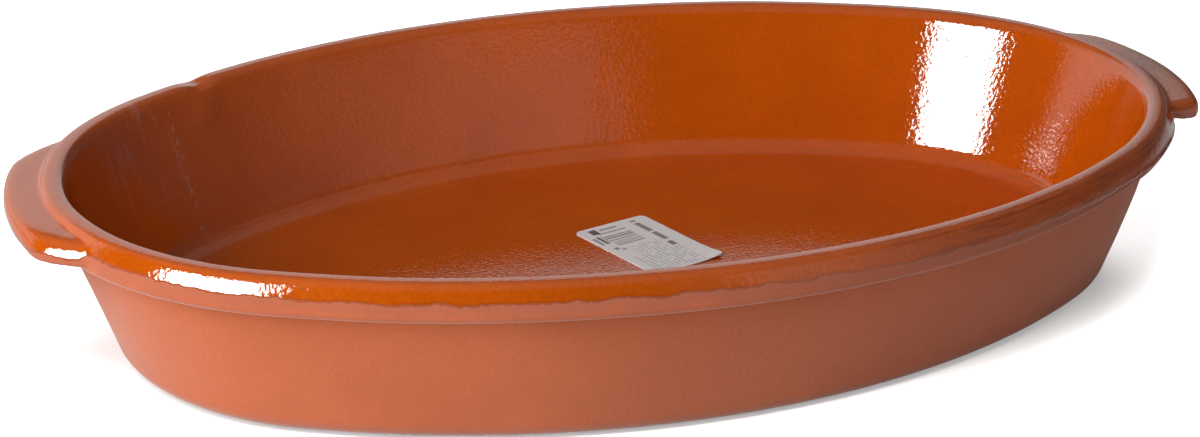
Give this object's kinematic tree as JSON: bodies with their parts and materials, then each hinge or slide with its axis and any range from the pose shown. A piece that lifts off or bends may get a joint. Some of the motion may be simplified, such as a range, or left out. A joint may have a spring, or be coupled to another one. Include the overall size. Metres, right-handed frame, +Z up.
{
  "type": "oval earthenware baking dish",
  "caption": "Shallow oval earthenware oven dish, glazed inside and over its rolled rim, raw outside, with a flat lug at each end and a paper label on its floor.",
  "frame": {"origin": "middle of the underside, on the surface the dish stands on", "axes": "+X along the length, through both lugs; +Y across the width; +Z up"},
  "size_m": [0.3666, 0.237, 0.0545],
  "materials": {
    "dish": "clear gloss glaze over orange clay inside and on the rim, raw matt clay outside",
    "label": "smooth coated paper with plain print"
  },
  "bodies": {
    "root": {"dish": "dish", "label": "label"}
  },
  "joints": []
}
